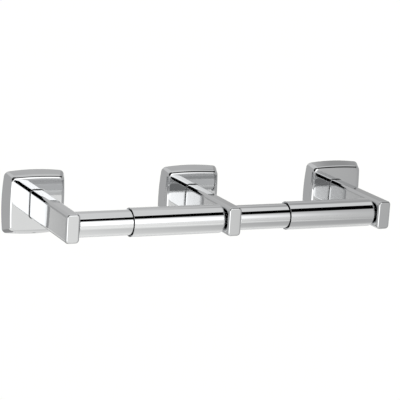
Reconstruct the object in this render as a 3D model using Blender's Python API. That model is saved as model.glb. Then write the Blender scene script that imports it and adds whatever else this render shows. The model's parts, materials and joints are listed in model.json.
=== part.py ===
"""Double toilet roll holder for a wall: three hollow posts carry two sprung, telescoping rollers.

Metres, +Z up. The wall is the plane Y = 0, and the holder stands out from it towards -Y. The origin is
on the wall, behind the middle of the centre post. Each post is a drawn flange with an arm welded
through it. The flange hooks over a hidden wall bracket and is held by a set screw in a weld nut.
"""
import math

import bmesh
import bpy
from mathutils import Vector

# Posts, from left to right along the wall
POST_PITCH = 0.130
POST_NAMES = ("left", "centre", "right")

# Flange: a square pan with bowed sides, drawn from sheet and open towards the wall
FLANGE_SIZE = 0.0508
FLANGE_DEPTH = 0.0085
FLANGE_INSET = 0.0033
FLANGE_WALL = 0.0008
BASE_BULGE = 0.0016
BASE_CORNER = 0.0045
FACE_BULGE = 0.00065
FACE_CORNER = 0.0027
FACE_FILLET = 0.003
HOOK_WIDTH = 0.018
HOOK_REACH = 0.0032
HOOK_SETBACK = 0.0003

# Arm: a rectangular sleeve, closed at the front, with pivot holes for the rollers
ARM_WIDTH = 0.011
ARM_HEIGHT = 0.0224
ARM_REACH = 0.088
ARM_WALL = 0.0008
ARM_CORNER = 0.0024
ARM_FILLET = 0.001
ARM_TAIL = 0.0025
WELD_GAP = 0.0003

# Wall bracket: a bent plate with an upper lip for the hook and a lower lip for the set screw
BRACKET_WIDTH = 0.022
BRACKET_THICKNESS = 0.0016
UPPER_LIP_ANGLE = math.radians(45)
LOWER_LIP_ANGLE = math.radians(80)
UPPER_LIP = 0.004
LOWER_LIP_OVERHANG = 0.0018
HOOK_CLEARANCE = 0.0003
WALL_HOLE_PITCH = 0.016
WALL_HOLE_RADIUS = 0.00225

# Set screw and its weld nut, square to the rim's underside
SCREW_RADIUS = 0.0015
SCREW_LENGTH = 0.005
SCREW_RECESS = 0.0002
SCREW_CHAMFER = 0.0003
SCREW_POINT_RADIUS = 0.0004
SCREW_CLEARANCE = 0.0003
SOCKET_RADIUS = 0.00087
SOCKET_DEPTH = 0.0018
NUT_RADIUS = 0.003175
NUT_HEIGHT = 0.0022
NUT_CLEARANCE = 0.0008
POINT_CLEARANCE = 0.0003

# Rollers: a barrel at the right, a plunger that slides into it from the left, and a spring inside
ROLLER_REACH = 0.075
BARREL_RADIUS = 0.01095
BARREL_LENGTH = 0.0734
BARREL_WALL = 0.0009
BARREL_FILLET = 0.001
MOUTH_EDGE = 0.0004
MOUTH_LIP = 0.002
MOUTH_CLEARANCE = 0.0002
PLUNGER_RADIUS = 0.0096
PLUNGER_WALL = 0.0011
PLUNGER_FILLET = 0.001
PLUNGER_OVERLAP = 0.025
COLLAR_LENGTH = 0.003
COLLAR_CLEARANCE = 0.00015
END_WALL = 0.0014
SHOULDER_GAP = 0.00196
END_CLEARANCE = 0.0003
BOSS_RADIUS = 0.005
PIN_RADIUS = 0.003
PIN_REACH = 0.0035
PIN_CHAMFER = 0.0006
PIN_CLEARANCE = 0.0003

# Spring
WIRE_RADIUS = 0.0006
COIL_RADIUS = 0.0064
COIL_TURNS = 14
END_TURNS = 1
END_TURN_GAP = 0.00045
SPRING_CLEARANCE = 0.0003
SPIGOT_CLEARANCE = 0.0004
SPIGOT_LENGTH = 0.004

# Every cut passes through its wall by the overrun, and points closer than the merge distance are one
OVERRUN = 0.002
MERGE_DISTANCE = 0.000001

# Facet counts
SIDE_STEPS = 6
CORNER_STEPS = 4
FACE_STEPS = 4
INNER_FACE_STEPS = 3
FILLET_STEPS = 3
ROUND_STEPS = 40
SCREW_SIDES = 12
HOLE_SIDES = 24
TURN_POINTS = 8
SMOOTH_ANGLE = math.radians(35)

# Sizes that follow from those above
QUARTER_TURN = math.pi / 2
RIM_SLOPE = math.atan(FLANGE_INSET / FLANGE_DEPTH)
RIM_WALL_INSET = FLANGE_WALL / math.cos(RIM_SLOPE)
NUT_SEAT = FLANGE_WALL + WELD_GAP
INNER_DEPTH = FLANGE_DEPTH - FLANGE_WALL
NUT_FRONT = NUT_RADIUS * math.cos(RIM_SLOPE) - NUT_SEAT * math.sin(RIM_SLOPE)
SCREW_DEPTH = INNER_DEPTH - NUT_CLEARANCE - NUT_FRONT
HALF_BAY = (POST_PITCH - ARM_WIDTH) / 2
SHOULDER = HALF_BAY - SHOULDER_GAP
FLOOR = SHOULDER - END_WALL
MOUTH = SHOULDER - BARREL_LENGTH
BORE_RADIUS = BARREL_RADIUS - BARREL_WALL
SPIGOT_RADIUS = COIL_RADIUS - WIRE_RADIUS - SPIGOT_CLEARANCE


def clear_scene():
    for old in list(bpy.data.objects):
        bpy.data.objects.remove(old, do_unlink=True)


def make_material(name, colour, metallic, roughness):
    material = bpy.data.materials.new(name)
    material.use_nodes = True
    shader = material.node_tree.nodes["Principled BSDF"]
    shader.inputs["Base Color"].default_value = (*colour, 1.0)
    shader.inputs["Metallic"].default_value = metallic
    shader.inputs["Roughness"].default_value = roughness
    return material


def make_empty(name, location):
    empty = bpy.data.objects.new(name, None)
    empty.location = location
    bpy.context.collection.objects.link(empty)
    return empty


def make_mesh(name, bm):
    bmesh.ops.recalc_face_normals(bm, faces=bm.faces)
    mesh = bpy.data.meshes.new(name)
    bm.to_mesh(mesh)
    bm.free()
    mesh.shade_smooth()
    mesh.set_sharp_from_angle(angle=SMOOTH_ANGLE)
    return mesh


def place(name, data, parent, material, location=(0, 0, 0), tilt=0):
    """Add an object under its parent, turned by tilt about X."""
    piece = bpy.data.objects.new(name, data)
    bpy.context.collection.objects.link(piece)
    piece.parent = parent
    piece.location = location
    piece.rotation_euler.x = tilt
    if material:
        piece.data.materials.clear()
        piece.data.materials.append(material)
    return piece


def use_tool(piece, tool, operation):
    """Join or cut a piece with a hidden tool body."""
    tool.hide_render = True
    tool.display_type = "WIRE"
    modifier = piece.modifiers.new(tool.name, "BOOLEAN")
    modifier.operation = operation
    modifier.solver = "EXACT"
    modifier.object = tool


def blend(start, end, share):
    return start + (end - start) * share


def pillow_outline(half, bulge, corner):
    """A square with bowed sides and round corners, as (x, z) points clockwise seen from the front."""
    chord = half - bulge
    bow = (chord ** 2 + bulge ** 2) / (2 * bulge)
    offset = bow - half
    centre = (math.sqrt(2 * (bow - corner) ** 2 - offset ** 2) - offset) / 2
    sweep = math.atan2(centre, centre + offset)
    quarter = []
    for step in range(SIDE_STEPS + 1):
        angle = blend(-sweep, sweep, step / SIDE_STEPS)
        quarter.append((bow * math.sin(angle), bow * math.cos(angle) - offset))
    for step in range(1, CORNER_STEPS):
        angle = blend(sweep, QUARTER_TURN - sweep, step / CORNER_STEPS)
        quarter.append((centre + corner * math.sin(angle), centre + corner * math.cos(angle)))
    points = []
    for turns in range(4):
        sine, cosine = math.sin(turns * QUARTER_TURN), math.cos(turns * QUARTER_TURN)
        points += [(x * cosine + z * sine, z * cosine - x * sine) for x, z in quarter]
    return points


def box_outline(half_width, half_height, corner, side_steps):
    """A rectangle with round corners, as (x, z) points in the same order as a pillow outline's."""
    flat_x, flat_z = half_width - corner, half_height - corner
    signs = ((1, 1), (1, -1), (-1, -1), (-1, 1))
    centres = [Vector((flat_x * across, flat_z * up)) for across, up in signs]
    points = []
    for turns, centre in enumerate(centres):
        start = turns * QUARTER_TURN
        outward = corner * Vector((math.sin(start), math.cos(start)))
        for step in range(side_steps + 1):
            points.append(centres[turns - 1].lerp(centre, step / side_steps) + outward)
        for step in range(1, CORNER_STEPS):
            angle = start + QUARTER_TURN * step / CORNER_STEPS
            points.append(centre + corner * Vector((math.sin(angle), math.cos(angle))))
    return points


def polygon(radius, sides, count):
    """A regular polygon as (x, y) points, with extra points along its sides up to the count."""
    angles = [math.tau * side / sides for side in range(sides + 1)]
    corners = [radius * Vector((math.cos(angle), math.sin(angle))) for angle in angles]
    steps = count // sides
    points = []
    for near, far in zip(corners, corners[1:]):
        points += [near.lerp(far, step / steps) for step in range(steps)]
    return points


def skin(bm, rings, closed=False):
    """Join rings of equal length with quads, and the last to the first where closed."""
    pairs = list(zip(rings, rings[1:]))
    if closed:
        pairs.append((rings[-1], rings[0]))
    for near, far in pairs:
        for i in range(len(near)):
            bm.faces.new((near[i - 1], near[i], far[i], far[i - 1]))


def wall_ring(bm, outline, depth):
    """A ring of vertices parallel to the wall, at a depth in front of it."""
    return [bm.verts.new((x, -depth, z)) for x, z in outline]


def level_ring(bm, outline, height):
    return [bm.verts.new((x, y, height)) for x, y in outline]


def rim_profile(skin_depth, steps):
    """The flange's section as (inset, depth) points: a sloped rim, then a fillet to the face.
    The skin depth is 0 for the outer side and the wall for the inner side, about the same centre."""
    radius = FACE_FILLET - skin_depth
    centre_inset = FLANGE_INSET + FACE_FILLET * math.tan((QUARTER_TURN - RIM_SLOPE) / 2)
    centre_depth = FLANGE_DEPTH - FACE_FILLET
    profile = [(skin_depth / math.cos(RIM_SLOPE), 0)]
    for step in range(steps + 1):
        angle = blend(RIM_SLOPE, QUARTER_TURN, step / steps)
        profile.append((centre_inset - radius * math.cos(angle), centre_depth + radius * math.sin(angle)))
    return profile


def flange_ring(bm, inset, depth):
    """The flange's outline at an inset: it grows squarer from the base to the face."""
    share = min(inset / FLANGE_INSET, 1)
    bulge = blend(BASE_BULGE, FACE_BULGE, share)
    corner = blend(BASE_CORNER, FACE_CORNER, share)
    return wall_ring(bm, pillow_outline(FLANGE_SIZE / 2 - inset, bulge, corner), depth)


def flange_mesh():
    bm = bmesh.new()
    half_width, half_height = ARM_WIDTH / 2 + WELD_GAP, ARM_HEIGHT / 2 + WELD_GAP
    slot = box_outline(half_width, half_height, ARM_CORNER + WELD_GAP, SIDE_STEPS)
    outer, inner = rim_profile(0, FACE_STEPS), rim_profile(FLANGE_WALL, INNER_FACE_STEPS)
    rings = [flange_ring(bm, inset, depth) for inset, depth in outer]
    rings.append(wall_ring(bm, slot, FLANGE_DEPTH))
    rings.append(wall_ring(bm, slot, INNER_DEPTH))
    rings += [flange_ring(bm, inset, depth) for inset, depth in reversed(inner)]
    skin(bm, rings, closed=True)
    return make_mesh("flange", bm)


def hook_end():
    """The height at which the flange's upper return hook ends."""
    return FLANGE_SIZE / 2 - RIM_WALL_INSET - HOOK_REACH


def block_mesh(name, low, high):
    bm = bmesh.new()
    bmesh.ops.create_cube(bm, size=1)
    for vertex in bm.verts:
        vertex.co = [low[i] if vertex.co[i] < 0 else high[i] for i in range(3)]
    return make_mesh(name, bm)


def rod_mesh(name, radius, low, high, sides):
    bm = bmesh.new()
    rings = [level_ring(bm, polygon(radius, sides, sides), height) for height in (low, high)]
    skin(bm, rings)
    for ring in rings:
        bm.faces.new(ring)
    return make_mesh(name, bm)


def arm_mesh():
    bm = bmesh.new()
    half_width, half_height = ARM_WIDTH / 2, ARM_HEIGHT / 2
    root = INNER_DEPTH - ARM_TAIL
    inner = box_outline(half_width - ARM_WALL, half_height - ARM_WALL, ARM_CORNER - ARM_WALL, 1)
    rings = [wall_ring(bm, inner, ARM_REACH - ARM_WALL), wall_ring(bm, inner, root)]
    rings.append(wall_ring(bm, box_outline(half_width, half_height, ARM_CORNER, 1), root))
    for step in range(FILLET_STEPS + 1):
        angle = QUARTER_TURN * step / FILLET_STEPS
        inset = ARM_FILLET * (1 - math.cos(angle))
        outline = box_outline(half_width - inset, half_height - inset, ARM_CORNER - inset, 1)
        rings.append(wall_ring(bm, outline, ARM_REACH - ARM_FILLET * (1 - math.sin(angle))))
    skin(bm, rings)
    bm.faces.new(rings[0])
    bm.faces.new(rings[-1])
    return make_mesh("arm", bm)


def screw_frame():
    """Where the set screw's axis leaves the rim's underside, and its direction into the flange."""
    start = Vector((0, -SCREW_DEPTH, SCREW_DEPTH * math.tan(RIM_SLOPE) - FLANGE_SIZE / 2))
    return start, Vector((0, math.sin(RIM_SLOPE), math.cos(RIM_SLOPE)))


def set_screw_mesh():
    """A socket set screw with a cone point, along +Z from its socket end."""
    bm = bmesh.new()
    low, high = SCREW_RECESS, SCREW_RECESS + SCREW_LENGTH
    cone = SCREW_RADIUS - SCREW_POINT_RADIUS
    socket = polygon(SOCKET_RADIUS, 6, SCREW_SIDES)
    outlines = [(socket, low + SOCKET_DEPTH), (socket, low)]
    for radius, height in ((SCREW_RADIUS - SCREW_CHAMFER, low), (SCREW_RADIUS, low + SCREW_CHAMFER),
                           (SCREW_RADIUS, high - cone), (SCREW_POINT_RADIUS, high)):
        outlines.append((polygon(radius, SCREW_SIDES, SCREW_SIDES), height))
    rings = [level_ring(bm, outline, height) for outline, height in outlines]
    skin(bm, rings)
    bm.faces.new(rings[0])
    bm.faces.new(rings[-1])
    return make_mesh("set_screw", bm)


def weld_nut_mesh():
    bm = bmesh.new()
    outer = polygon(NUT_RADIUS, 6, SCREW_SIDES)
    bore = polygon(SCREW_RADIUS + SCREW_CLEARANCE, SCREW_SIDES, SCREW_SIDES)
    high = NUT_SEAT + NUT_HEIGHT
    outlines = ((outer, NUT_SEAT), (outer, high), (bore, high), (bore, NUT_SEAT))
    rings = [level_ring(bm, outline, height) for outline, height in outlines]
    skin(bm, rings, closed=True)
    return make_mesh("weld_nut", bm)


def lip_points(root, angle, length, way):
    """A lip's outer and inner tip, and where its inner side meets the plate's front, as (y, z) points."""
    sine, cosine = math.sin(angle), math.cos(angle)
    outer = (-length * sine, root + way * length * cosine)
    inner = (outer[0] - BRACKET_THICKNESS * cosine, outer[1] - way * BRACKET_THICKNESS * sine)
    return outer, inner, (-BRACKET_THICKNESS, root - way * BRACKET_THICKNESS * math.tan(angle / 2))


def bracket_profile():
    """The bracket's section as (y, z) points: back face, upper lip, front face, lower lip."""
    start, direction = screw_frame()
    point = start + direction * (SCREW_RECESS + SCREW_LENGTH)
    under_y = point.y - POINT_CLEARANCE * math.cos(LOWER_LIP_ANGLE)
    under_z = point.z + POINT_CLEARANCE * math.sin(LOWER_LIP_ANGLE)
    low = under_z - under_y / math.tan(LOWER_LIP_ANGLE)
    lower_lip = LOWER_LIP_OVERHANG - under_y / math.sin(LOWER_LIP_ANGLE)
    over_y = -HOOK_SETBACK - FLANGE_WALL - HOOK_CLEARANCE * math.cos(UPPER_LIP_ANGLE)
    over_z = hook_end() - HOOK_CLEARANCE * math.sin(UPPER_LIP_ANGLE)
    high = over_z + over_y / math.tan(UPPER_LIP_ANGLE)
    lower = lip_points(low, LOWER_LIP_ANGLE, lower_lip, -1)
    return [(0, low), (0, high), *lip_points(high, UPPER_LIP_ANGLE, UPPER_LIP, 1), *reversed(lower)]


def bracket_mesh():
    bm = bmesh.new()
    profile = bracket_profile()
    half = BRACKET_WIDTH / 2
    rings = [[bm.verts.new((x, y, z)) for y, z in profile] for x in (-half, half)]
    skin(bm, rings)
    for ring in rings:
        bm.faces.new(ring)
    return make_mesh("wall_bracket", bm)


def round_edge(corner_x, corner_radius, radius, from_angle, to_angle):
    """Points of a quarter round whose circle is centred at (corner_x, corner_radius)."""
    points = []
    for step in range(FILLET_STEPS + 1):
        angle = blend(from_angle, to_angle, step / FILLET_STEPS)
        points.append((corner_x + radius * math.cos(angle), corner_radius + radius * math.sin(angle)))
    return points


def turned_mesh(name, profile):
    """Spin a profile of (x, radius) points, which starts and ends on the axis, about X."""
    bm = bmesh.new()
    verts = [bm.verts.new((x, 0, radius)) for x, radius in profile]
    edges = [bm.edges.new(pair) for pair in zip(verts, verts[1:])]
    bmesh.ops.spin(bm, geom=verts + edges, cent=(0, 0, 0), axis=(1, 0, 0), angle=math.tau,
                   steps=ROUND_STEPS, use_merge=True)
    bmesh.ops.remove_doubles(bm, verts=bm.verts, dist=MERGE_DISTANCE)
    return make_mesh(name, bm)


def closed_end_profile(radius, fillet):
    """From the pin's tip over the boss to the shoulder of a tube that runs towards -X."""
    tip = HALF_BAY + PIN_REACH
    stop = HALF_BAY - END_CLEARANCE
    profile = [(tip, 0), (tip, PIN_RADIUS - PIN_CHAMFER), (tip - PIN_CHAMFER, PIN_RADIUS)]
    profile += [(stop, PIN_RADIUS), (stop, BOSS_RADIUS), (SHOULDER, BOSS_RADIUS)]
    return profile + round_edge(SHOULDER - fillet, radius - fillet, fillet, 0, QUARTER_TURN)


def floor_profile(bore):
    """From the bore over the tube's closed floor to the end of the spring's spigot."""
    top = FLOOR - SPIGOT_LENGTH
    return [(FLOOR, bore), (FLOOR, SPIGOT_RADIUS), (top, SPIGOT_RADIUS), (top, 0)]


def barrel_mesh():
    lip = PLUNGER_RADIUS + MOUTH_CLEARANCE
    profile = closed_end_profile(BARREL_RADIUS, BARREL_FILLET)
    profile += round_edge(MOUTH + MOUTH_EDGE, BARREL_RADIUS - MOUTH_EDGE, MOUTH_EDGE, QUARTER_TURN, math.pi)
    profile += [(MOUTH, lip), (MOUTH + MOUTH_LIP, lip), (MOUTH + MOUTH_LIP, BORE_RADIUS)]
    return turned_mesh("barrel", profile + floor_profile(BORE_RADIUS))


def plunger_mesh():
    """The plunger is drawn like the barrel, towards -X, and then mirrored to the bay's left-hand side."""
    inner_end = -MOUTH - PLUNGER_OVERLAP
    collar = BORE_RADIUS - COLLAR_CLEARANCE
    bore = PLUNGER_RADIUS - PLUNGER_WALL
    profile = closed_end_profile(PLUNGER_RADIUS, PLUNGER_FILLET)
    profile += [(inner_end + COLLAR_LENGTH, PLUNGER_RADIUS), (inner_end + COLLAR_LENGTH, collar)]
    profile += [(inner_end, collar), (inner_end, bore)]
    return turned_mesh("plunger", [(-x, radius) for x, radius in profile + floor_profile(bore)])


def spring_curve():
    """A compression spring along X with a closed turn at each end."""
    reach = FLOOR - SPRING_CLEARANCE - WIRE_RADIUS
    end_run = END_TURNS * (2 * WIRE_RADIUS + END_TURN_GAP)
    turns = COIL_TURNS + 2 * END_TURNS
    curve = bpy.data.curves.new("spring", "CURVE")
    curve.dimensions = "3D"
    curve.bevel_depth = WIRE_RADIUS
    curve.bevel_resolution = 1
    curve.use_fill_caps = True
    spline = curve.splines.new("POLY")
    count = turns * TURN_POINTS + 1
    spline.points.add(count - 1)
    for index in range(count):
        turn = index / TURN_POINTS
        if turn < END_TURNS:
            x = -reach + end_run * turn / END_TURNS
        elif turn > turns - END_TURNS:
            x = reach - end_run * (turns - turn) / END_TURNS
        else:
            x = blend(end_run - reach, reach - end_run, (turn - END_TURNS) / COIL_TURNS)
        angle = math.tau * turn
        spline.points[index].co = (x, COIL_RADIUS * math.cos(angle), COIL_RADIUS * math.sin(angle), 1)
    return curve


def add_posts(steel, bracket_steel, screw_steel):
    flange, arm, bracket = flange_mesh(), arm_mesh(), bracket_mesh()
    screw, nut = set_screw_mesh(), weld_nut_mesh()
    rim_point, _ = screw_frame()
    hook_top = FLANGE_SIZE / 2 - FLANGE_WALL
    hook = block_mesh("hook", (-HOOK_WIDTH / 2, -HOOK_SETBACK - FLANGE_WALL, hook_end()),
                      (HOOK_WIDTH / 2, -HOOK_SETBACK, hook_top))
    bore = SCREW_RADIUS + SCREW_CLEARANCE
    screw_hole = rod_mesh("screw_hole", bore, -OVERRUN, FLANGE_WALL + OVERRUN, SCREW_SIDES)
    wall_hole = rod_mesh("wall_hole", WALL_HOLE_RADIUS, -OVERRUN, BRACKET_THICKNESS + OVERRUN, HOLE_SIDES)
    pivot_hole = rod_mesh("pivot_hole", PIN_RADIUS + PIN_CLEARANCE, -ARM_WIDTH, 0, HOLE_SIDES)
    for index, side in enumerate(POST_NAMES):
        post = make_empty(side + "_post", ((index - 1) * POST_PITCH, 0, 0))
        piece = place(side + "_flange", flange, post, steel)
        use_tool(piece, place(side + "_hook_tool", hook, post, None), "UNION")
        tool = place(side + "_screw_hole_tool", screw_hole, post, None, rim_point, -RIM_SLOPE)
        use_tool(piece, tool, "DIFFERENCE")
        piece = place(side + "_arm", arm, post, steel)
        for way, wanted in ((-1, index > 0), (1, index < len(POST_NAMES) - 1)):
            if wanted:
                tool = place(f"{side}_pivot_tool_{way + 1}", pivot_hole, post, None, (0, -ROLLER_REACH, 0))
                tool.rotation_euler.y = -way * QUARTER_TURN
                use_tool(piece, tool, "DIFFERENCE")
        piece = place(side + "_wall_bracket", bracket, post, bracket_steel)
        for way in (-1, 1):
            spot = (0, 0, way * WALL_HOLE_PITCH / 2)
            tool = place(f"{side}_wall_hole_tool_{way + 1}", wall_hole, post, None, spot, QUARTER_TURN)
            use_tool(piece, tool, "DIFFERENCE")
        place(side + "_set_screw", screw, post, screw_steel, rim_point, -RIM_SLOPE)
        place(side + "_weld_nut", nut, post, bracket_steel, rim_point, -RIM_SLOPE)


def add_rollers(chrome, spring_steel):
    barrel, plunger, spring = barrel_mesh(), plunger_mesh(), spring_curve()
    for index, side in enumerate((POST_NAMES[0], POST_NAMES[-1])):
        middle = (2 * index - 1) * POST_PITCH / 2
        axis = make_empty(side + "_roller_axis", (middle, -ROLLER_REACH, 0))
        place(side + "_barrel", barrel, axis, chrome)
        place(side + "_plunger", plunger, axis, chrome)
        place(side + "_spring", spring, axis, spring_steel)


def main():
    clear_scene()
    polished = make_material("polished_stainless", (0.78, 0.78, 0.78), 1.0, 0.06)
    rolled = make_material("rolled_stainless", (0.62, 0.62, 0.61), 1.0, 0.35)
    plated = make_material("chrome_plate", (0.80, 0.80, 0.81), 1.0, 0.05)
    blackened = make_material("black_oxide_steel", (0.05, 0.05, 0.05), 1.0, 0.4)
    drawn = make_material("spring_wire", (0.50, 0.49, 0.47), 1.0, 0.3)
    add_posts(polished, rolled, blackened)
    add_rollers(plated, drawn)


main()
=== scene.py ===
import json
import math

import bmesh
import bpy
from mathutils import Matrix, Vector

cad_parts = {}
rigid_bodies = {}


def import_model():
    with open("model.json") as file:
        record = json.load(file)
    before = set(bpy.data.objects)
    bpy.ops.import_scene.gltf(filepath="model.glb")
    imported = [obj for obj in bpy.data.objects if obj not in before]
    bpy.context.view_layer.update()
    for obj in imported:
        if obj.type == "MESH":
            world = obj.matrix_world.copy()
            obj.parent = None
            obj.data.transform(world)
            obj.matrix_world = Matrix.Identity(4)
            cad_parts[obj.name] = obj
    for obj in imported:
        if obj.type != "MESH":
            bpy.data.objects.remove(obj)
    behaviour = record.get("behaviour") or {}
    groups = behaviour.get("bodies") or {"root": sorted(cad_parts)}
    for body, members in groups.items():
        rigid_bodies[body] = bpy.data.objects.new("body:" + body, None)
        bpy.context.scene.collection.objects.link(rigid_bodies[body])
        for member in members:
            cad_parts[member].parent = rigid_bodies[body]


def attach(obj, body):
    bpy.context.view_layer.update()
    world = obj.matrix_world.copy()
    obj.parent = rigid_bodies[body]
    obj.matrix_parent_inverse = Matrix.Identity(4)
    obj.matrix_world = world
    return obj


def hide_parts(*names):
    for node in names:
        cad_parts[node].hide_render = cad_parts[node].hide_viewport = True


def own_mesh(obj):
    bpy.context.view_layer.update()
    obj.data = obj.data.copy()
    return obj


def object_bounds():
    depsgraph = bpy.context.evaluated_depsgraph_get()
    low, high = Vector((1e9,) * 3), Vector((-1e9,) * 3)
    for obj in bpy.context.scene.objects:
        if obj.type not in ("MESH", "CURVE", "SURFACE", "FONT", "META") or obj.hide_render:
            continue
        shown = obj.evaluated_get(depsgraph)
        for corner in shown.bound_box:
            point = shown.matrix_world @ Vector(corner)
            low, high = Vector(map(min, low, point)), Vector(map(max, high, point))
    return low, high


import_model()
cadLow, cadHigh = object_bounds()

# Double toilet roll holder. Metres, the wall is the plane Y = 0 and the room is towards -Y.
postPitch = 0.130
posts = {"left": -postPitch, "centre": 0.0, "right": postPitch}   # where each post stands along the wall
rollers = {"left": -postPitch / 2, "right": postPitch / 2}        # the middle of each bay
rollerReach = 0.075                                               # roller axis to wall
cornerSegments = 10
weldDistance = 0.000001                                           # nearer points are one point
matchDistance = 0.00001                                           # how close a sought size or place has to be


# Shared modelling steps

def markedMesh():
    # vertices carry the number of the outline that they belong to
    bm = bmesh.new()
    bm.verts.layers.int.new("outline")
    return bm


def boxFace(bm, width, height, corner, depth, cuts, number=1):
    # a face parallel to the wall, with round corners and its four sides cut into steps
    outline = bm.verts.layers.int["outline"]
    place = (Matrix.Translation((0, -depth, 0)) @ Matrix.Diagonal((width / 2, 1, height / 2, 1))
             @ Matrix.Rotation(math.pi / 2, 4, "X") @ Matrix.Rotation(math.pi / 4, 4, "Z"))
    made = bmesh.ops.create_circle(bm, cap_ends=True, segments=4, radius=math.sqrt(2), matrix=place)
    bevel(bm, made["verts"], corner, cornerSegments, "VERTICES")
    fresh = [vert for vert in bm.verts if not vert[outline]]
    sides = sorted({edge for vert in fresh for edge in vert.link_edges}, key=lambda edge: edge.calc_length())
    if cuts:
        bmesh.ops.subdivide_edges(bm, edges=sides[-4:], cuts=cuts)
    for vert in bm.verts:
        vert[outline] = vert[outline] or number


def vertsOf(bm, number):
    outline = bm.verts.layers.int["outline"]
    return [vert for vert in bm.verts if vert[outline] == number]


def edgesOf(bm, number):
    outline = bm.verts.layers.int["outline"]
    return [edge for edge in bm.edges if all(vert[outline] == number for vert in edge.verts)]


def bowSides(verts, half, bow):
    # every side swells by the bow at its middle
    for vert in verts:
        across, up = vert.co.x / half, vert.co.z / half
        vert.co.x += bow * across * (1 - up * up)
        vert.co.z += bow * up * (1 - across * across)


def fitOutline(verts, half, corner, width, height, newCorner):
    # turns a square outline into a rectangle's, with corner arcs onto corner arcs
    flat = half - corner
    for vert in verts:
        for axis, newHalf in ((0, width / 2), (2, height / 2)):
            size = abs(vert.co[axis])
            size = min(size / flat, 1) * (newHalf - newCorner) + max(size - flat, 0) * newCorner / corner
            vert.co[axis] = math.copysign(size, vert.co[axis])


def bevel(bm, geom, offset, segments, affect="EDGES"):
    bmesh.ops.bevel(bm, geom=geom, offset=offset, offset_type="OFFSET", affect=affect,
                    segments=segments, profile=0.5, material=-1)


def spin(bm, geom, turns, steps, advance=0, merge=False):
    # winds geometry about the X axis while it moves along it, and gives back its last position
    return bmesh.ops.spin(bm, geom=geom, cent=(0, 0, 0), axis=(1, 0, 0), angle=math.tau * turns,
                          steps=steps, dvec=(advance / steps, 0, 0), use_merge=merge)["geom_last"]


def meshFrom(name, bm, sharpAngle=40):
    mesh = bpy.data.meshes.new(name)
    bm.to_mesh(mesh)
    bm.free()
    mesh.shade_smooth()
    mesh.set_sharp_from_angle(angle=math.radians(sharpAngle))
    return mesh


def rodTool(name, radius, length, matrix, sides=48, farRadius=None):
    # a helper rod or cone for carve, from the matrix's origin along its +Z
    bm = bmesh.new()
    bmesh.ops.create_cone(bm, cap_ends=True, segments=sides, radius1=radius,
                          radius2=radius if farRadius is None else farRadius, depth=length,
                          matrix=matrix @ Matrix.Translation((0, 0, length / 2)))
    return meshFrom(name, bm)


def carve(mesh, toolMeshes, operation="DIFFERENCE"):
    # cuts helper bodies out of a mesh, joins them to it, or keeps what lies in both
    scene = bpy.context.scene.collection.objects
    target = bpy.data.objects.new(mesh.name + "Blank", mesh)
    scene.link(target)
    tools = []
    for toolMesh in toolMeshes:
        tool = bpy.data.objects.new(toolMesh.name, toolMesh)
        scene.link(tool)
        tools.append(tool)
        step = target.modifiers.new(tool.name, "BOOLEAN")
        step.operation = operation
        step.solver = "EXACT"
        step.object = tool
    bpy.context.view_layer.update()
    carved = bpy.data.meshes.new_from_object(target.evaluated_get(bpy.context.evaluated_depsgraph_get()))
    for helper in [target] + tools:
        bpy.data.objects.remove(helper)
    return carved


def addPiece(name, mesh, shift, body, node, material):
    # a finished piece at its place, standing for its CAD node
    mesh = mesh.copy()
    mesh.name = name
    mesh.transform(Matrix.Translation(shift))
    mesh.materials.clear()
    mesh.materials.append(material)
    piece = bpy.data.objects.new(name, mesh)
    bpy.context.scene.collection.objects.link(piece)
    shading = piece.modifiers.new("evenShading", "WEIGHTED_NORMAL")
    shading.keep_sharp = True
    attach(piece, body)
    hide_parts(node)
    return piece


# Materials

white = (1, 1, 1, 1)


def linear(hexColour):
    # sRGB hex to linear, with full alpha
    parts = [int(hexColour[i:i + 2], 16) / 255 for i in (1, 3, 5)]
    return tuple(c / 12.92 if c <= 0.04045 else ((c + 0.055) / 1.055) ** 2.4 for c in parts) + (1.0,)


def addNode(tree, kind, inputs=None, **settings):
    made = tree.nodes.new(kind)
    for name, value in settings.items():
        setattr(made, name, value)
    for name, value in (inputs or {}).items():
        socket = made.inputs[name]
        if isinstance(value, bpy.types.NodeSocket):
            tree.links.new(value, socket)
        else:
            socket.default_value = value
    return made


def newMaterial(name):
    made = bpy.data.materials.new(name)
    made.use_nodes = True
    return made, made.node_tree


def metalFinish(name, tones, shine, cloudScale, lineStretch, lineScale, lineHeight):
    # tones: two hex colours that drift into each other, shine: lowest and highest roughness,
    # lines: the marks that the last wheel, roll or die left, stretched along one axis
    made, tree = newMaterial(name)
    shader = tree.nodes["Principled BSDF"]
    shader.inputs["Metallic"].default_value = 1.0
    place = addNode(tree, "ShaderNodeTexCoord").outputs["Object"]
    cloud = addNode(tree, "ShaderNodeTexNoise", {"Vector": place, "Scale": cloudScale, "Detail": 3.0})
    mix = addNode(tree, "ShaderNodeMix", {"Factor": cloud.outputs["Fac"]}, data_type="RGBA")
    # a colour mix has its two colours at inputs 6 and 7, and its result at output 2
    mix.inputs[6].default_value = linear(tones[0])
    mix.inputs[7].default_value = linear(tones[1])
    tree.links.new(mix.outputs[2], shader.inputs["Base Color"])
    turned = addNode(tree, "ShaderNodeMapping", {"Vector": place, "Scale": lineStretch})
    lines = addNode(tree, "ShaderNodeTexNoise", {"Vector": turned.outputs["Vector"], "Scale": lineScale,
                                                 "Detail": 4.0, "Roughness": 0.65})
    rough = addNode(tree, "ShaderNodeMapRange", {"Value": lines.outputs["Fac"], "From Min": 0.3,
                                                 "From Max": 0.7, "To Min": shine[0], "To Max": shine[1]})
    tree.links.new(rough.outputs["Result"], shader.inputs["Roughness"])
    bump = addNode(tree, "ShaderNodeBump", {"Height": lines.outputs["Fac"], "Strength": 1.0,
                                            "Distance": lineHeight})
    tree.links.new(bump.outputs["Normal"], shader.inputs["Normal"])
    return made


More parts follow.
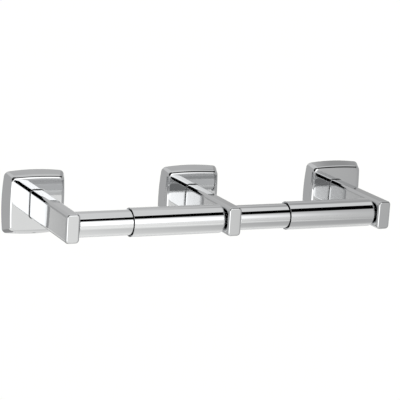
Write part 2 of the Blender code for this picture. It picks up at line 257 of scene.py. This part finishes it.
# 304 stainless sheet, drawn and buffed to a mirror: a crisp reflection with the faintest haze
buffedStainless = metalFinish("buffedStainless", tones=("#D2D3D4", "#D7D8D9"), shine=(0.02, 0.05),
                              cloudScale=60.0, lineStretch=(1.0, 6.0, 1.0), lineScale=900.0,
                              lineHeight=0.0000004)
# chrome plate on moulded ABS: brighter and a little bluer than steel
chromePlatedAbs = metalFinish("chromePlatedAbs", tones=("#E1E2E3", "#E6E7E8"), shine=(0.015, 0.035),
                              cloudScale=45.0, lineStretch=(4.0, 1.0, 1.0), lineScale=700.0,
                              lineHeight=0.0000003)
# cold-rolled stainless strip with a 2B mill finish: dull grey, faint rolling lines up the plate
rolledStainless = metalFinish("rolledStainless", tones=("#A9AAA9", "#B8B8B6"), shine=(0.28, 0.42),
                              cloudScale=80.0, lineStretch=(8.0, 8.0, 1.0), lineScale=600.0,
                              lineHeight=0.000002)
# alloy steel with black oxide: near black, a low oily sheen
blackOxideSteel = metalFinish("blackOxideSteel", tones=("#232325", "#303033"), shine=(0.32, 0.48),
                              cloudScale=400.0, lineStretch=(1.0, 1.0, 1.0), lineScale=1500.0,
                              lineHeight=0.000003)
# hard-drawn spring wire: grey with die lines, coarser here than real so that they show
drawnWire = metalFinish("drawnWire", tones=("#8C8A86", "#A19F9A"), shine=(0.25, 0.38), cloudScale=200.0,
                        lineStretch=(0.5, 6.0, 6.0), lineScale=1200.0, lineHeight=0.000002)
print("materials made")


# Flange: a square pan drawn from sheet, with bowed sides, a sloped rim and a slot for the arm

flange = {
    "size": 0.0508, "depth": 0.0085, "rimInset": 0.0033, "wall": 0.0008,
    "baseBow": 0.0016, "baseCorner": 0.00325, "faceBow": 0.00065, "faceCorner": 0.0042,
    "edgeOffset": 0.00225, "edgeSegments": 8, "sideCuts": 11, "faceCuts": 7,
    "firstInset": 0.0003, "slotGap": 0.00025, "slotLip": 0.0004, "slotLipSegments": 4,
    "hookWidth": 0.018, "hookReach": 0.0032, "hookSetback": 0.0003,
}
screwHole = {"depth": 0.00434, "radius": 0.0018, "length": 0.0048, "start": -0.002}
arm = {
    "width": 0.011, "height": 0.0224, "reach": 0.088, "corner": 0.0029, "frontOffset": 0.0016,
    "frontSegments": 6, "wall": 0.0008, "root": 0.0052, "pivotRadius": 0.0033, "pivotSides": 64,
}
rimSlope = math.atan(flange["rimInset"] / flange["depth"])
baseHalf = flange["size"] / 2 - flange["baseBow"]
faceHalf = flange["size"] / 2 - flange["rimInset"] - flange["faceBow"]
slotWidth = arm["width"] + 2 * flange["slotGap"]
slotHeight = arm["height"] + 2 * flange["slotGap"]
slotCorner = arm["corner"] + flange["slotGap"]
baseRing, faceRing, slotRing = 1, 2, 3      # the outlines' numbers

bm = markedMesh()
boxFace(bm, 2 * faceHalf, 2 * faceHalf, flange["faceCorner"], flange["depth"], flange["sideCuts"], faceRing)
cap = bm.faces[:]
bmesh.ops.inset_region(bm, faces=cap, thickness=flange["firstInset"], use_boundary=True,
                       use_even_offset=True)
for vert in cap[0].verts:
    vert[bm.verts.layers.int["outline"]] = slotRing
fitOutline(vertsOf(bm, slotRing), faceHalf - flange["firstInset"],
           flange["faceCorner"] - flange["firstInset"], slotWidth, slotHeight, slotCorner)
bowSides(vertsOf(bm, faceRing), faceHalf, flange["faceBow"])
boxFace(bm, 2 * baseHalf, 2 * baseHalf, flange["baseCorner"], 0, flange["sideCuts"], baseRing)
bowSides(vertsOf(bm, baseRing), baseHalf, flange["baseBow"])
openings = [face for face in bm.faces if len(face.verts) > 4]
bmesh.ops.delete(bm, geom=openings, context="FACES_ONLY")
bmesh.ops.bridge_loops(bm, edges=edgesOf(bm, baseRing) + edgesOf(bm, faceRing))
bevel(bm, edgesOf(bm, faceRing), flange["edgeOffset"], flange["edgeSegments"])
slotVerts = set(vertsOf(bm, slotRing))
spokes = [edge for edge in bm.edges if len(slotVerts.intersection(edge.verts)) == 1]
bmesh.ops.subdivide_edges(bm, edges=spokes, cuts=flange["faceCuts"], use_grid_fill=True)
bmesh.ops.recalc_face_normals(bm, faces=bm.faces[:])
bmesh.ops.solidify(bm, geom=bm.faces[:], thickness=flange["wall"])
for vert in bm.verts:
    vert.co.y = min(vert.co.y, 0)           # the cut edge lies flat on the wall
slotEdge = [edge for edge in bm.edges
            if all(abs(vert.co.y + flange["depth"]) < matchDistance
                   and abs(vert.co.x) < slotWidth / 2 + matchDistance
                   and abs(vert.co.z) < slotHeight / 2 + matchDistance
                   for vert in edge.verts)]
bevel(bm, slotEdge, flange["slotLip"], flange["slotLipSegments"])
flangeMesh = meshFrom("flange", bm)

# the hook turns in at the top, and the set screw's hole is square to the rim's underside
hookEnd = flange["size"] / 2 - flange["wall"] / math.cos(rimSlope) - flange["hookReach"]
hookTop = flange["size"] / 2 - flange["wall"]
hookPlace = Matrix.Translation((0, -flange["hookSetback"] - flange["wall"] / 2, (hookEnd + hookTop) / 2))
hookSize = Matrix.Diagonal((flange["hookWidth"], flange["wall"], hookTop - hookEnd, 1))
bm = bmesh.new()
bmesh.ops.create_cube(bm, size=1, matrix=hookPlace @ hookSize)
flangeMesh = carve(flangeMesh, [meshFrom("hook", bm)], "UNION")
screwRise = screwHole["depth"] * math.tan(rimSlope) - flange["size"] / 2
screwPlace = Matrix.Translation((0, -screwHole["depth"], screwRise)) @ Matrix.Rotation(-rimSlope, 4, "X")
holeTool = rodTool("screwHole", screwHole["radius"], screwHole["length"],
                   screwPlace @ Matrix.Translation((0, 0, screwHole["start"])))
flangeMesh = carve(flangeMesh, [holeTool])
for side, x in posts.items():
    addPiece(side + "Flange", flangeMesh, (x, 0, 0), "posts", side + "_flange",
             buffedStainless)
print("flanges made")


# Arm: a rectangular sleeve, closed and rounded at the front, with a pivot hole for each roller

def armMesh(holeSides):
    bm = markedMesh()
    boxFace(bm, arm["width"], arm["height"], arm["corner"], arm["root"], 0)
    front = bmesh.ops.extrude_face_region(bm, geom=bm.faces[:])["geom"]
    frontVerts = [item for item in front if isinstance(item, bmesh.types.BMVert)]
    bmesh.ops.translate(bm, verts=frontVerts, vec=(0, arm["root"] - arm["reach"], 0))
    backFaces = [face for face in bm.faces if face.calc_center_median().y > -arm["root"] - matchDistance]
    bmesh.ops.delete(bm, geom=backFaces, context="FACES_ONLY")
    frontSet = set(frontVerts)
    frontEdges = [edge for edge in bm.edges if frontSet.issuperset(edge.verts)]
    bevel(bm, frontEdges, arm["frontOffset"], arm["frontSegments"])
    bmesh.ops.recalc_face_normals(bm, faces=bm.faces[:])
    bmesh.ops.solidify(bm, geom=bm.faces[:], thickness=arm["wall"])
    mesh = meshFrom("arm", bm)
    tools = []
    for way in holeSides:
        place = Matrix.Translation((0, -rollerReach, 0)) @ Matrix.Rotation(way * math.pi / 2, 4, "Y")
        tools.append(rodTool("pivotHole", arm["pivotRadius"], arm["width"], place, arm["pivotSides"]))
    return carve(mesh, tools)


for side, holeSides in (("left", (1,)), ("centre", (-1, 1)), ("right", (-1,))):
    addPiece(side + "Arm", armMesh(holeSides), (posts[side], 0, 0), "posts", side + "_arm",
             buffedStainless)
print("arms made")


# Rollers: a barrel at the right, and a plunger that slides into it from the left

bay = (postPitch - arm["width"]) / 2        # from a bay's middle to its arms
shoulder = bay - 0.00196                    # the lengths inside a roller count from here
mouth = shoulder - 0.0734
tube = {
    "steps": 96, "floor": shoulder - 0.0014, "mouth": mouth, "lipStart": shoulder - 0.0686,
    "lipEnd": shoulder - 0.0666, "innerEnd": -mouth - 0.025, "endFace": bay - 0.0011, "bossEnd": bay - 0.0003,
    "pinTip": bay + 0.0035, "spigotLength": 0.004, "collarLength": 0.003,
    "bore": 0.01005, "barrelRadius": 0.01095, "plungerRadius": 0.0096, "plungerBore": 0.0085,
    "pinRadius": 0.003, "bossRadius": 0.005, "spigotRadius": 0.0054, "lip": 0.0098, "collarRadius": 0.0099,
    "rim": 0.0107,
}
# the roundings of a profile's corners
rounding = {"steps": 6, "barrel": 0.0018, "mouth": 0.0002, "plunger": 0.0005, "collar": 0.0003, "pin": 0.0006,
            "boss": 0.0003, "bore": 0.0004, "spigotFoot": 0.0003, "spigotTip": 0.0004}


def turnedMesh(name, profile, mirrored=False):
    # profile: (x, radius, rounding) from axis to axis, spun about the roller's own axis
    bm = bmesh.new()
    verts = [bm.verts.new((x, 0, radius)) for x, radius, size in profile]
    for near, far in zip(verts, verts[1:]):
        bm.edges.new((near, far))
    for vert, (x, radius, size) in zip(verts, profile):
        if size:
            bevel(bm, [vert], size, rounding["steps"], "VERTICES")
    spin(bm, bm.verts[:] + bm.edges[:], 1, tube["steps"], merge=True)
    bmesh.ops.remove_doubles(bm, verts=bm.verts[:], dist=weldDistance)
    if mirrored:
        bmesh.ops.scale(bm, verts=bm.verts[:], vec=(-1, 1, 1))
    bmesh.ops.recalc_face_normals(bm, faces=bm.faces[:])
    return meshFrom(name, bm)


closedEnd = [(tube["pinTip"], 0, 0), (tube["pinTip"], tube["pinRadius"], rounding["pin"]),
             (tube["bossEnd"], tube["pinRadius"], 0), (tube["bossEnd"], tube["bossRadius"], rounding["boss"]),
             (tube["endFace"], tube["bossRadius"], 0)]


def floorOf(bore):
    # the bore ends in a closed floor with a spigot that centres the spring
    top = tube["floor"] - tube["spigotLength"]
    return [(tube["floor"], bore, rounding["bore"]),
            (tube["floor"], tube["spigotRadius"], rounding["spigotFoot"]),
            (top, tube["spigotRadius"], rounding["spigotTip"]), (top, 0, 0)]


barrelMesh = turnedMesh("barrel", closedEnd + [
    (tube["endFace"], tube["barrelRadius"], rounding["barrel"]),
    (tube["mouth"], tube["barrelRadius"], rounding["mouth"]), (tube["mouth"], tube["rim"], 0),
    (tube["lipStart"], tube["rim"], 0), (tube["lipStart"], tube["lip"], 0), (tube["lipEnd"], tube["lip"], 0),
    (tube["lipEnd"], tube["bore"], 0)] + floorOf(tube["bore"]))
collarStart = tube["innerEnd"] + tube["collarLength"]
plungerMesh = turnedMesh("plunger", closedEnd + [
    (tube["endFace"], tube["plungerRadius"], rounding["plunger"]), (collarStart, tube["plungerRadius"], 0),
    (collarStart, tube["collarRadius"], rounding["collar"]),
    (tube["innerEnd"], tube["collarRadius"], rounding["collar"]),
    (tube["innerEnd"], tube["plungerBore"], rounding["collar"])]
    + floorOf(tube["plungerBore"]), mirrored=True)
for side, x in rollers.items():
    addPiece(side + "Barrel", barrelMesh, (x, -rollerReach, 0), side + "_roller_barrel", side + "_barrel",
             chromePlatedAbs)
    addPiece(side + "Plunger", plungerMesh, (x, -rollerReach, 0), side + "_roller_plunger",
             side + "_plunger", chromePlatedAbs)
print("rollers made")


# Spring: a helix with a closed turn at each end, from the plunger's floor to the barrel's, with a mesh of its
# own in each roller

spring = {"wireRadius": 0.0006, "coilRadius": 0.0064, "turns": 14, "endRun": 0.00165, "stepsPerTurn": 28,
          "wireSides": 10, "travel": 0.010, "endGap": 0.0003}
springReach = tube["floor"] - spring["endGap"] - spring["wireRadius"]
bm = bmesh.new()
bmesh.ops.create_circle(bm, segments=spring["wireSides"], radius=spring["wireRadius"],
                        matrix=Matrix.Translation((-springReach, spring["coilRadius"], 0)))
geom = bm.verts[:] + bm.edges[:]
openRun = 2 * (springReach - spring["endRun"])
for turns, run in ((1, spring["endRun"]), (spring["turns"], openRun), (1, spring["endRun"])):
    geom = spin(bm, geom, turns, turns * spring["stepsPerTurn"], run)
bmesh.ops.holes_fill(bm, edges=bm.edges[:], sides=spring["wireSides"])
bmesh.ops.recalc_face_normals(bm, faces=bm.faces[:])
springMesh = meshFrom("spring", bm)
for side, x in rollers.items():
    piece = addPiece(side + "Spring", springMesh, (x, -rollerReach, 0), side + "_roller_barrel",
                     side + "_spring", drawnWire)
    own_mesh(piece)
print("springs made")


# Wall bracket: a bent plate with two countersunk holes, an upper lip for the hook and a lower lip

bracket = {
    "width": 0.022, "thickness": 0.0016, "bendRadius": 0.0027, "low": -0.01813, "high": 0.01982,
    "upperLip": 0.004, "upperAngle": math.radians(45), "lowerLip": 0.004347, "lowerAngle": math.radians(80),
    "tipCorner": 0.002, "tipSegments": 6, "bendSegments": 8, "holePitch": 0.016, "holeRadius": 0.00225,
    "sinkRadius": 0.0038, "sinkDepth": 0.0012, "cutOverrun": 0.0005,
    "upperTipAbove": 0.02082, "lowerTipBeyond": -0.0041,      # only the lips' tips reach past these
}


def bracketMesh():
    bm = bmesh.new()
    half = bracket["width"] / 2
    verts = [bm.verts.new((-half, y, z)) for y, z in (
        (-bracket["upperLip"] * math.sin(bracket["upperAngle"]),
         bracket["high"] + bracket["upperLip"] * math.cos(bracket["upperAngle"])),
        (0, bracket["high"]), (0, bracket["low"]),
        (-bracket["lowerLip"] * math.sin(bracket["lowerAngle"]),
         bracket["low"] - bracket["lowerLip"] * math.cos(bracket["lowerAngle"])))]
    for near, far in zip(verts, verts[1:]):
        bm.edges.new((near, far))
    for vert, angle in ((verts[1], bracket["upperAngle"]), (verts[2], bracket["lowerAngle"])):
        bevel(bm, [vert], bracket["bendRadius"] * math.tan(angle / 2), bracket["bendSegments"], "VERTICES")
    made = bmesh.ops.extrude_edge_only(bm, edges=bm.edges[:])["geom"]
    bmesh.ops.translate(bm, verts=[item for item in made if isinstance(item, bmesh.types.BMVert)],
                        vec=(bracket["width"], 0, 0))
    bmesh.ops.recalc_face_normals(bm, faces=bm.faces[:])
    if max(bm.faces, key=lambda face: face.calc_area()).normal.y < 0:
        bmesh.ops.reverse_faces(bm, faces=bm.faces[:])        # the thickness goes in from the wall's side
    bmesh.ops.solidify(bm, geom=bm.faces[:], thickness=bracket["thickness"])
    short = [edge for edge in bm.edges if abs(edge.calc_length() - bracket["thickness"]) < matchDistance]
    tips = [edge for edge in short if max(vert.co.z for vert in edge.verts) > bracket["upperTipAbove"]]
    tips += [edge for edge in short if min(vert.co.y for vert in edge.verts) < bracket["lowerTipBeyond"]]
    bevel(bm, tips, bracket["tipCorner"], bracket["tipSegments"])
    mesh = meshFrom("bracket", bm)
    cutStart, cutEnd = -bracket["cutOverrun"], bracket["thickness"] + bracket["cutOverrun"]
    hole = turnedMesh("wallHole", [
        (cutStart, 0, 0), (cutStart, bracket["holeRadius"], 0),
        (bracket["thickness"] - bracket["sinkDepth"], bracket["holeRadius"], 0),
        (bracket["thickness"], bracket["sinkRadius"], 0), (cutEnd, bracket["sinkRadius"], 0), (cutEnd, 0, 0)])
    hole.transform(Matrix.Rotation(-math.pi / 2, 4, "Z"))
    tools = []
    for way in (-1, 1):
        tools.append(hole.copy())
        tools[-1].transform(Matrix.Translation((0, 0, way * bracket["holePitch"] / 2)))
    return carve(mesh, tools)


plate = bracketMesh()
for side, x in posts.items():
    addPiece(side + "WallBracket", plate, (x, 0, 0), "posts", side + "_wall_bracket",
             rolledStainless)
print("wall brackets made")


# Set screw: M3 with a cone point and a hexagon socket, and its weld nut with three projections

screw = {
    "start": 0.0002, "end": 0.0052, "radius": 0.0015, "chamfer": 0.0003, "coneLength": 0.0011,
    "pointRadius": 0.0004, "pointRound": 0.0001, "socketRadius": 0.00087, "socketDepth": 0.0018,
    "socketOverrun": 0.001, "pitch": 0.0005, "steps": 40, "sharpAngle": 25,
    # a ridge's outline: shares of the pitch along the axis and of the depth out of the root
    "threadShares": ((0, 0), (0.15, 0), (0.5, 1), (0.65, 1)), "threadDepth": 0.0003,
    # turns that are wound beyond the screw, before its start, and cut off again at each end
    "spareTurns": 5, "earlyTurns": 2, "cutTurns": 1.5,
}
nut = {"radius": 0.003175, "start": 0.0011, "end": 0.0033, "bore": 0.00165, "chamfer": 0.0003,
       "blankShare": 1.01, "cutOverrun": 0.0001, "projections": 3, "projectionTip": 0.00036,
       "projectionFoot": 0.00084, "projectionHeight": 0.0002, "projectionReach": 0.0024,
       "projectionSides": 16}
alongScrew = screwPlace @ Matrix.Rotation(-math.pi / 2, 4, "Y")      # turned parts lie along +X


def threadMesh(turns):
    # one profile with all its ridges, wound round by a single turn, so that each ridge meets the next
    bm = bmesh.new()
    verts = [bm.verts.new(((turn + share) * screw["pitch"], 0,
                           screw["radius"] - screw["threadDepth"] * (1 - height)))
             for turn in range(turns) for share, height in screw["threadShares"]]
    for near, far in zip(verts, verts[1:]):
        bm.edges.new((near, far))
    spin(bm, bm.verts[:] + bm.edges[:], 1, screw["steps"], screw["pitch"])
    bmesh.ops.remove_doubles(bm, verts=bm.verts[:], dist=weldDistance)
    for cut, way in ((screw["cutTurns"], -1), (turns - screw["cutTurns"], 1)):
        bmesh.ops.bisect_plane(bm, geom=bm.verts[:] + bm.edges[:] + bm.faces[:],
                               plane_co=(screw["pitch"] * cut, 0, 0), plane_no=(way, 0, 0), clear_outer=True)
    bmesh.ops.holes_fill(bm, edges=[edge for edge in bm.edges if edge.is_boundary], sides=0)
    bmesh.ops.recalc_face_normals(bm, faces=bm.faces[:])
    return meshFrom("thread", bm, screw["sharpAngle"])


def hexTool(name, radius, start, end):
    bm = bmesh.new()
    bmesh.ops.create_cone(bm, cap_ends=True, segments=6, radius1=radius, radius2=radius, depth=end - start,
                          matrix=Matrix.Translation(((start + end) / 2, 0, 0))
                          @ Matrix.Rotation(math.pi / 2, 4, "Y"))
    return meshFrom(name, bm)


thread = threadMesh(round((screw["end"] - screw["start"]) / screw["pitch"]) + screw["spareTurns"])
thread.transform(Matrix.Translation((screw["start"] - screw["earlyTurns"] * screw["pitch"], 0, 0)))
blank = turnedMesh("screwBlank", [
    (screw["start"], 0, 0), (screw["start"], screw["radius"] - screw["chamfer"], 0),
    (screw["start"] + screw["chamfer"], screw["radius"], 0),
    (screw["end"] - screw["coneLength"], screw["radius"], 0),
    (screw["end"], screw["pointRadius"], screw["pointRound"]), (screw["end"], 0, 0)])
socket = hexTool("socket", screw["socketRadius"], screw["start"] - screw["socketOverrun"],
                 screw["start"] + screw["socketDepth"])
screwMesh = carve(carve(thread, [blank], "INTERSECT"), [socket])
screwMesh.transform(alongScrew)

# the blank is a little wider than the hexagon's corners, and only chamfers their outer ends
blankRadius = nut["radius"] * nut["blankShare"]
nutBlank = turnedMesh("nutBlank", [
    (nut["start"], 0, 0), (nut["start"], blankRadius, 0), (nut["end"] - nut["chamfer"], blankRadius, 0),
    (nut["end"], nut["radius"] * math.cos(math.pi / 6), 0), (nut["end"], 0, 0)])
nutMesh = carve(hexTool("nut", nut["radius"], nut["start"], nut["end"]), [nutBlank], "INTERSECT")
cutStart, cutEnd = nut["start"] - nut["cutOverrun"], nut["end"] + nut["cutOverrun"]
cutRadius = nut["bore"] + nut["chamfer"] + nut["cutOverrun"]
nutBore = turnedMesh("nutBore", [
    (cutStart, 0, 0), (cutStart, cutRadius, 0), (nut["start"] + nut["chamfer"], nut["bore"], 0),
    (nut["end"] - nut["chamfer"], nut["bore"], 0), (cutEnd, cutRadius, 0), (cutEnd, 0, 0)])
projections = []
for turn in range(nut["projections"]):
    place = (Matrix.Rotation(turn * math.tau / nut["projections"], 4, "X")
             @ Matrix.Rotation(math.pi / 2, 4, "Y")
             @ Matrix.Translation((0, nut["projectionReach"], nut["start"] - nut["projectionHeight"])))
    projections.append(rodTool("projection", nut["projectionTip"], nut["projectionHeight"] * 2, place,
                               nut["projectionSides"], nut["projectionFoot"]))
nutMesh = carve(carve(nutMesh, projections, "UNION"), [nutBore])
nutMesh.transform(alongScrew)
for side, x in posts.items():
    addPiece(side + "SetScrew", screwMesh, (x, 0, 0), "posts", side + "_set_screw",
             blackOxideSteel)
    addPiece(side + "WeldNut", nutMesh, (x, 0, 0), "posts", side + "_weld_nut",
             rolledStainless)
print("set screws and weld nuts made")


# Studio: camera, floor and light

camera = {"location": (-0.565442, -1.214690, 0.302168), "yaw": 25.401, "pitch": -12.824, "roll": 3.813,
          "lens": 154.84, "sensor": 36}
yaw, pitch, roll = (math.radians(camera[name]) for name in ("yaw", "pitch", "roll"))
forward = Vector((math.sin(yaw) * math.cos(pitch), math.cos(yaw) * math.cos(pitch), math.sin(pitch)))
right = Vector((math.cos(yaw), -math.sin(yaw), 0))
up = right.cross(forward)
across = right * math.cos(roll) + up * math.sin(roll)
upward = up * math.cos(roll) - right * math.sin(roll)
cameraData = bpy.data.cameras.new("camera")
cameraData.lens = camera["lens"]
cameraData.sensor_width = camera["sensor"]
cameraObject = bpy.data.objects.new("camera", cameraData)
cameraObject.matrix_world = Matrix((across, upward, -forward)).transposed().to_4x4()
cameraObject.location = camera["location"]
bpy.context.scene.collection.objects.link(cameraObject)
bpy.context.scene.camera = cameraObject
bpy.context.scene.view_settings.view_transform = "Standard"


# Floor: pale, with the object's shadow, and white where the eye or a mirror looks at it

floor = {"drop": 0.9, "size": 24.0, "colour": "#E4E4E2", "roughness": 0.9, "lift": 0.26}

rig = bpy.data.collections.new("studio")
bpy.context.scene.collection.children.link(rig)


def seenDirectly(tree):
    # 1 where a camera, mirror or glass ray arrives, 0 for light on its way to the object
    rays = addNode(tree, "ShaderNodeLightPath").outputs
    first = addNode(tree, "ShaderNodeMath", {0: rays["Is Camera Ray"], 1: rays["Is Glossy Ray"]},
                    operation="MAXIMUM")
    return addNode(tree, "ShaderNodeMath", {0: first.outputs[0], 1: rays["Is Transmission Ray"]},
                   operation="MAXIMUM").outputs[0]


def gridObject(name, width, height, matrix, material, flare=0):
    bm = bmesh.new()
    bm.loops.layers.uv.new("card")
    bmesh.ops.create_grid(bm, x_segments=1, y_segments=1, size=0.5, calc_uvs=True)
    for vert in bm.verts:
        vert.co.y *= 1 + 2 * flare * vert.co.x
    bmesh.ops.scale(bm, verts=bm.verts[:], vec=(width, height, 1))
    mesh = bpy.data.meshes.new(name)
    bm.to_mesh(mesh)
    bm.free()
    mesh.materials.append(material)
    made = bpy.data.objects.new(name, mesh)
    made.matrix_world = matrix
    rig.objects.link(made)
    return made


paleFloor, tree = newMaterial("paleFloor")
shader = tree.nodes["Principled BSDF"]
shader.inputs["Base Color"].default_value = linear(floor["colour"])
shader.inputs["Roughness"].default_value = floor["roughness"]
shader.inputs["Specular IOR Level"].default_value = 0.0
lift = addNode(tree, "ShaderNodeMath", {0: seenDirectly(tree), 1: floor["lift"]}, operation="MULTIPLY")
shader.inputs["Emission Color"].default_value = white
tree.links.new(lift.outputs[0], shader.inputs["Emission Strength"])
gridObject("paleFloor", floor["size"], floor["size"],
           Matrix.Translation((0, 0, cadLow[2] - floor["drop"])), paleFloor)

worldLevel = 0.72
world = bpy.data.worlds.new("studio")
bpy.context.scene.world = world
world.use_nodes = True
tree = world.node_tree
strength = addNode(tree, "ShaderNodeMapRange", {"Value": seenDirectly(tree), "To Min": worldLevel,
                                                "To Max": 1.0})
tree.nodes["Background"].inputs["Color"].default_value = white
tree.links.new(strength.outputs["Result"], tree.nodes["Background"].inputs["Strength"])

# Cards: what a photographer stands round bright metal. They show in it and do nothing else. Each has a place
# as seen from the rollers (degrees round from the front towards the right, degrees up), a distance, its width
# and height, its level (0 is black velvet, 1 is white) and the share of it that fades out towards each edge.
# A shift moves it to the right and back, and a flare makes its right end wider than its left one.
cards = {
    "rightFlat": {"round": 90, "up": 0, "far": 1.0, "size": (5.4, 5.4), "level": 0.5, "fade": 0.32},
    "leftFlat": {"round": -90, "up": 0, "far": 1.0, "size": (5.4, 5.4), "level": 0.55, "fade": 0.32},
    "overhead": {"round": 0, "up": 90, "far": 1.2, "size": (3.4, 1.6), "shift": (0, 0.1), "level": 0.77,
                 "fade": 0.15},
    "backFlat": {"round": 180, "up": 35, "far": 1.6, "size": (3.6, 1.8), "level": 0.61, "fade": 0.12},
    "backBelow": {"round": 155, "up": -25, "far": 0.8, "size": (0.8, 1.04), "level": 0.76, "fade": 0.1},
    "topRight": {"round": 125, "up": 46, "far": 1.1, "size": (0.5, 0.7), "level": 0.4, "fade": 0.3},
    "under": {"round": 0, "up": -90, "far": 0.34, "size": (1.4, 0.9), "shift": (0.5, -0.2),
              "level": 0.45, "fade": 0.4},
    "underFlag": {"round": 0, "up": -90, "far": 0.34, "size": (0.44, 1.0), "shift": (-0.27, 0.345),
                  "level": 0.36, "fade": 0.08},
    "backLow": {"round": -138, "up": -13, "far": 1.5, "size": (1.15, 0.5), "level": 0.5, "fade": 0.2},
    "backLevel": {"round": -153, "up": 2, "far": 1.6, "size": (1.1, 0.52), "level": 0.45, "fade": 0.2},
    "backRight": {"round": 137, "up": 20, "far": 1.3, "size": (1.05, 0.8), "level": 0.46, "fade": 0.2},
    "frontLight": {"round": 12, "up": 15, "far": 1.6, "size": (1.3, 1.2), "level": 1.9, "fade": 0.4},
    "bandLight": {"round": 6, "up": 19, "far": 1.45, "size": (0.5, 0.5), "level": 1.9, "fade": 0.06},
    "lowLight": {"round": -12, "up": -12.6, "far": 2.2, "size": (1.4, 0.85), "level": 2.2, "fade": 0.19},
    "highFlag": {"round": 24, "up": 45, "far": 1.2, "size": (1.8, 0.46), "level": 0.0, "fade": 0.1,
                 "flare": 0.6},
    "cameraFlag": {"round": -26, "up": 28, "far": 1.5, "size": (2.2, 0.98), "level": 0.0, "fade": 0.03},
    "lowFlag": {"round": -28, "up": 4, "far": 1.5, "size": (0.42, 0.46), "level": 0.0, "fade": 0.08},
    "upperFlag": {"round": -20, "up": 60, "far": 1.35, "size": (1.0, 0.7), "level": 0.0, "fade": 0.08},
    "cornerFlag": {"round": 69, "up": 33, "far": 1.2, "size": (0.85, 0.46), "level": 0.0, "fade": 0.1},
    "sideFlag": {"round": 75, "up": 12, "far": 1.3, "size": (0.9, 0.5), "level": 0.0, "fade": 0.12},
}


def cardMaterial(name, level, fade):
    made, tree = newMaterial(name)
    tree.nodes.remove(tree.nodes["Principled BSDF"])
    place = addNode(tree, "ShaderNodeTexCoord").outputs["UV"]
    centred = addNode(tree, "ShaderNodeVectorMath", {0: place, 1: (0.5, 0.5, 0)}, operation="SUBTRACT")
    folded = addNode(tree, "ShaderNodeVectorMath", {0: centred.outputs[0]}, operation="ABSOLUTE")
    parts = addNode(tree, "ShaderNodeSeparateXYZ", {"Vector": folded.outputs[0]}).outputs
    masks = [addNode(tree, "ShaderNodeMapRange", {"Value": parts[axis], "From Min": 0.5 - fade,
                                                  "From Max": 0.5, "To Min": 1.0, "To Max": 0.0},
                     interpolation_type="SMOOTHSTEP").outputs["Result"] for axis in (0, 1)]
    mask = addNode(tree, "ShaderNodeMath", {0: masks[0], 1: masks[1]}, operation="MULTIPLY")
    glow = addNode(tree, "ShaderNodeEmission", {"Color": white, "Strength": level})
    clear = addNode(tree, "ShaderNodeBsdfTransparent")
    blend = addNode(tree, "ShaderNodeMixShader", {0: mask.outputs[0], 1: clear.outputs[0],
                                                  2: glow.outputs[0]})
    tree.links.new(blend.outputs[0], tree.nodes["Material Output"].inputs["Surface"])
    return made


for name, card in cards.items():
    turn = (Matrix.Rotation(math.radians(card["round"]), 4, "Z")
            @ Matrix.Rotation(-math.radians(card["up"]), 4, "X"))
    facing = turn @ Matrix.Translation((0, -card["far"], 0)) @ Matrix.Rotation(math.pi / 2, 4, "X")
    shift = Matrix.Translation((*card.get("shift", (0, 0)), 0))
    made = gridObject(name, *card["size"], Matrix.Translation((0, -rollerReach, 0)) @ shift @ facing,
                      cardMaterial(name, card["level"], card["fade"]), card.get("flare", 0))
    made.visible_camera = made.visible_diffuse = made.visible_shadow = made.visible_transmission = False

# a wide soft lamp gives the floor its shadow, and no reflection
lamp = {"energy": 0.9, "angle": 35, "tilt": 28, "turn": -20}
lampData = bpy.data.lights.new("keyLamp", "SUN")
lampData.energy = lamp["energy"]
lampData.angle = math.radians(lamp["angle"])
lampObject = bpy.data.objects.new("keyLamp", lampData)
lampObject.rotation_euler = (math.radians(lamp["tilt"]), 0, math.radians(lamp["turn"]))
lampObject.visible_glossy = False
rig.objects.link(lampObject)
print("studio made")
